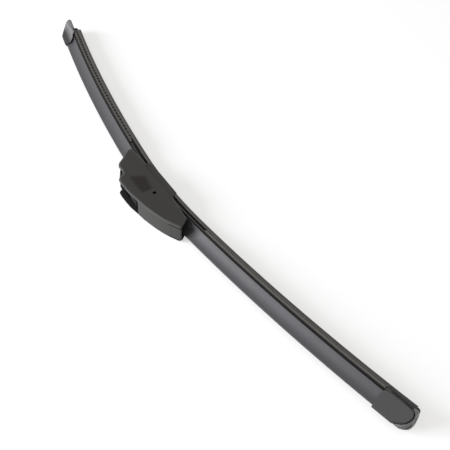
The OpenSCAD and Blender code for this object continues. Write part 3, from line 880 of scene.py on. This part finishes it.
class WIPER_OT_rubber(bpy.types.Operator):
    """Sweeps the wiping rubber along the blade line"""
    bl_idname = "wiper.rubber"
    bl_label = "Wiping rubber"

    def execute(self, context):
        pitch = context.scene.wiper_round.pitch / MM
        data = sweep_mesh("wiping_rubber_fine", soft_corners(rubber_section(), 0.2, 2),
                          INNER_CAP - RUBBER_REACH, OUTER_CAP + RUBBER_REACH, pitch, rubber_zone)
        bm = bmesh.new()
        bm.from_mesh(data)
        bpy.data.meshes.remove(data)
        rib = [RIB_TOP, (RIB_TOP[0], -RIB_TOP[1]), (RIB_FOOT[0], -RIB_FOOT[1]), RIB_FOOT]
        for first, last, length in RIB_ROWS:
            for i in range(int((last - first) / RIB_PITCH)):
                s = first + RIB_PITCH * i
                add_skin(bm, [[line_point(at, h, w) for h, w in rib] for at in (s, s + length)])
        data = mesh_of(bm, "wiping_rubber_fine")
        smooth_by_angle(data, 40)
        obj = new_piece("wiping_rubber_fine", data, "blade", "wiping_rubber")
        paint(obj, "Wiping rubber")
        return {"FINISHED"}


class WIPER_OT_rails(bpy.types.Operator):
    """Sweeps both sprung rails"""
    bl_idname = "wiper.rails"
    bl_label = "Sprung rails"

    def execute(self, context):
        pitch = context.scene.wiper_round.pitch / MM
        for node, low, high in (("flexor_wind", RAIL_IN, RAIL_OUT),
                                ("flexor_lee", -RAIL_OUT, -RAIL_IN)):
            outline = soft_corners([(RAIL_HALF, low), (RAIL_HALF, high), (-RAIL_HALF, high),
                                    (-RAIL_HALF, low)], 0.2, 2)
            data = sweep_mesh(node + "_fine", outline, INNER_CAP - RAIL_REACH,
                              OUTER_CAP + RAIL_REACH, pitch)
            smooth_by_angle(data, 40)
            obj = new_piece(node + "_fine", data, "blade", node)
            paint(obj, "Rail steel")
        return {"FINISHED"}


class WIPER_OT_spoilers(bpy.types.Operator):
    """Sweeps both spoilers and cuts their claws back next to the connector"""
    bl_idname = "wiper.spoilers"
    bl_label = "Spoilers"

    def execute(self, context):
        pitch = context.scene.wiper_round.pitch / MM
        for node, ends, notch, claw_top in SPOILERS:
            outline = soft_corners(spoiler_section(claw_top), 0.2, 3)
            data = sweep_mesh(node + "_fine", outline, *ends, pitch, spoiler_painted_light_zone)
            obj = new_piece(node + "_fine", data, "blade", node)
            boxes = [[Vector((h, side * w)) for h, w in CLAW_CUT] for side in (1, -1)]
            carve(obj, *[sweep_mesh("claw_cut", box, *notch, pitch) for box in boxes])
            smooth_by_angle(obj.data, 35)
            paint(obj, "Spoiler plastic")
        return {"FINISHED"}


class WIPER_OT_caps(bpy.types.Operator):
    """Finishes both end caps"""
    bl_idname = "wiper.caps"
    bl_label = "End caps"

    def execute(self, context):
        for node, cap in CAPS.items():
            data = cap_mesh(**cap)
            smooth_by_angle(data, 38)
            obj = new_piece(node + "_fine", data, "blade", node)
            paint(obj, "Cap plastic")
        return {"FINISHED"}


class WIPER_OT_connector(bpy.types.Operator):
    """Finishes the cover, the base and the pin"""
    bl_idname = "wiper.connector"
    bl_label = "Connector"

    def execute(self, context):
        outline = COVER_FAR + COVER_TOP + COVER_LOW
        rims = [(COVER_R * (1 - sin(a)), -COVER_W + COVER_R * (1 - cos(a))) for a in QUARTER]
        rims += [(d, -z) for d, z in reversed(rims)]
        # The cheeks take painted shade; the top band and most of its rounding keep the cover's own
        # tone
        zones = [CHEEK_PAINTED_SHADE] + [0.0] * (len(rims) - 2) + [CHEEK_PAINTED_SHADE]
        data = plate_mesh("connector_cover_fine", outline, rims, 1.0, zones)
        cover = new_piece("connector_cover_fine", data, "blade", "connector_cover")
        carve(cover, *cover_cutters())
        bm = bmesh.new()
        bm.from_mesh(cover.data)
        near, far = LEDGE_SIDE
        for low, high in ((near, far), (-far, -near)):
            add_skin(bm, [[on_plate(p, z) for p in LEDGE] for z in (low, high)])
        swap_mesh(cover, mesh_of(bm, "connector_cover_fine"))
        smooth_by_angle(cover.data, 32)
        even = cover.modifiers.new("even", "WEIGHTED_NORMAL")
        even.keep_sharp = True
        paint(cover, "Cover plastic")
        paint(NODES["connector_base"], "Inner plastic")
        paint(NODES["pivot_pin"], "Pin steel")
        return {"FINISHED"}


class WIPER_OT_adapter(bpy.types.Operator):
    """Finishes the adapter and its release button"""
    bl_idname = "wiper.adapter"
    bl_label = "Adapter"

    def execute(self, context):
        for node in ("adapter", "release_button"):
            soften_node(NODES[node], context.scene.wiper_round.edge)
            paint(NODES[node], "Inner plastic")
        return {"FINISHED"}


def soften_node(obj, width):
    """Rounds the edges of a CAD node with a modifier."""
    bevel = obj.modifiers.new("rounding", "BEVEL")
    bevel.width = width
    bevel.segments = 2
    bevel.limit_method = "ANGLE"
    bevel.angle_limit = radians(35)
    bevel.harden_normals = True


# Studio, in metres

FLOOR_HALF = 4
FLOOR_GAP = 0.0001
KEY_PLACE = (-0.7, -1.58, 0.47)
KEY_AIM = Vector((0.02, 0.03, 0.0))
KEY_SIZE = 1.2
KEY_COLOUR = (0.97, 0.96, 1.0)
SKY_COLOUR = (1.0, 0.98, 0.95, 1)
WHITE = (1, 1, 1, 1)
SENSOR_MM = 36.0
LENS_MM = 64.0
SHIFT = (-0.0122, 0.0137)
EYE_PLACE = (0.45224, -0.20163, 0.41363)
EYE_RIGHT = (0.52469, 0.85042, 0.0385)
EYE_UP = (-0.59598, 0.33466, 0.72994)
EYE_BACK = (0.60787, -0.40594, 0.68243)


def white_to_camera(tree):
    """One for rays from the camera, gloss and glass, and nought for light that falls on things."""
    ray = tree.nodes.new("ShaderNodeLightPath")
    total = ray.outputs["Is Camera Ray"]
    for label in ("Is Glossy Ray", "Is Transmission Ray"):
        most = add_node(tree, "ShaderNodeMath", operation="MAXIMUM")
        tree.links.new(total, most.inputs[0])
        tree.links.new(ray.outputs[label], most.inputs[1])
        total = most.outputs[0]
    return total


def plain_floor(tone, glow):
    """A floor that shows white to the camera and in gloss, under the shadow that falls on it."""
    material, tree, shader = shader_base("Studio floor", specular=0.0)
    fill(shader, {"Base Color": (*tone, 1.0), "Roughness": 0.9})
    light = fill(add_node(tree, "ShaderNodeMath", operation="MULTIPLY"), {1: glow})
    tree.links.new(white_to_camera(tree), light.inputs[0])
    shine = tree.nodes.new("ShaderNodeEmission")
    tree.links.new(light.outputs[0], shine.inputs["Strength"])
    both = tree.nodes.new("ShaderNodeAddShader")
    tree.links.new(shader.outputs[0], both.inputs[0])
    tree.links.new(shine.outputs[0], both.inputs[1])
    tree.links.new(both.outputs[0], tree.nodes["Material Output"].inputs["Surface"])
    return material


class WIPER_OT_studio(bpy.types.Operator):
    """Sets up the floor, the lights, the world and the camera"""
    bl_idname = "wiper.studio"
    bl_label = "Studio"

    def execute(self, context):
        scene = context.scene
        light = scene.wiper_light
        floor = bpy.data.meshes.new("studio_floor")
        z = CAD_LOW.z - FLOOR_GAP
        half = FLOOR_HALF
        floor.from_pydata([(-half, -half, z), (half, -half, z), (half, half, z), (-half, half, z)],
                          [], [(0, 1, 2, 3)])
        ground = bpy.data.objects.new("studio_floor", floor)
        scene.collection.objects.link(ground)
        ground.data.materials.append(plain_floor(light.floor_tone, light.floor_glow))

        lamp = bpy.data.lights.new("key", "AREA")
        lamp.energy = light.key_power
        lamp.color = KEY_COLOUR
        lamp.size = KEY_SIZE
        key = bpy.data.objects.new("key", lamp)
        scene.collection.objects.link(key)
        key.location = KEY_PLACE
        key.rotation_euler = (KEY_AIM - key.location).to_track_quat("-Z", "Y").to_euler()

        world = bpy.data.worlds.new("studio")
        scene.world = world
        world.use_nodes = True
        tree = world.node_tree
        sky = fill(tree.nodes["Background"], {"Strength": light.sky, "Color": SKY_COLOUR})
        white = fill(tree.nodes.new("ShaderNodeBackground"), {"Color": WHITE})
        mix = tree.nodes.new("ShaderNodeMixShader")
        tree.links.new(white_to_camera(tree), mix.inputs["Fac"])
        tree.links.new(sky.outputs[0], mix.inputs[1])
        tree.links.new(white.outputs[0], mix.inputs[2])
        tree.links.new(mix.outputs[0], tree.nodes["World Output"].inputs["Surface"])

        camera = bpy.data.cameras.new("camera")
        camera.sensor_width = SENSOR_MM
        camera.lens = LENS_MM
        camera.shift_x, camera.shift_y = SHIFT
        camera.clip_start = 0.01
        eye = bpy.data.objects.new("camera", camera)
        scene.collection.objects.link(eye)
        turn = Matrix((EYE_RIGHT, EYE_UP, EYE_BACK)).transposed().to_4x4()
        eye.matrix_world = Matrix.Translation(EYE_PLACE) @ turn
        scene.camera = eye
        scene.view_settings.view_transform = "Standard"
        return {"FINISHED"}


class WIPER_PT_panel(bpy.types.Panel):
    """Sizes and finishes of the wiper blade, with a button for each group of pieces"""
    bl_idname = "WIPER_PT_panel"
    bl_label = "Wiper blade"
    bl_space_type = "VIEW_3D"
    bl_region_type = "UI"
    bl_category = "Wiper"

    def draw(self, context):
        scene = context.scene
        column = self.layout.column()
        for settings in (scene.wiper_finish, scene.wiper_round, scene.wiper_light):
            for key in type(settings).__annotations__:
                column.prop(settings, key)
        for step in STEPS:
            column.operator(step.bl_idname)


STEPS = (WIPER_OT_finishes, WIPER_OT_rubber, WIPER_OT_rails, WIPER_OT_spoilers, WIPER_OT_caps,
         WIPER_OT_connector, WIPER_OT_adapter, WIPER_OT_studio)
GROUPS = (BladeFinish, BladeRound, StudioLight)


def register():
    """Adds the settings, the operators and the panel."""
    for kind in GROUPS + STEPS + (WIPER_PT_panel,):
        bpy.utils.register_class(kind)
    bpy.types.Scene.wiper_finish = PointerProperty(type=BladeFinish)
    bpy.types.Scene.wiper_round = PointerProperty(type=BladeRound)
    bpy.types.Scene.wiper_light = PointerProperty(type=StudioLight)


def unregister():
    """Takes away all that register adds."""
    for name in ("wiper_finish", "wiper_round", "wiper_light"):
        delattr(bpy.types.Scene, name)
    for kind in reversed(GROUPS + STEPS + (WIPER_PT_panel,)):
        bpy.utils.unregister_class(kind)


def main():
    """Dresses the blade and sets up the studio."""
    register()
    bpy.ops.wiper.finishes()
    bpy.ops.wiper.rubber()
    bpy.ops.wiper.rails()
    bpy.ops.wiper.spoilers()
    bpy.ops.wiper.caps()
    bpy.ops.wiper.connector()
    bpy.ops.wiper.adapter()
    bpy.ops.wiper.studio()


if __name__ == "__main__":
    main()
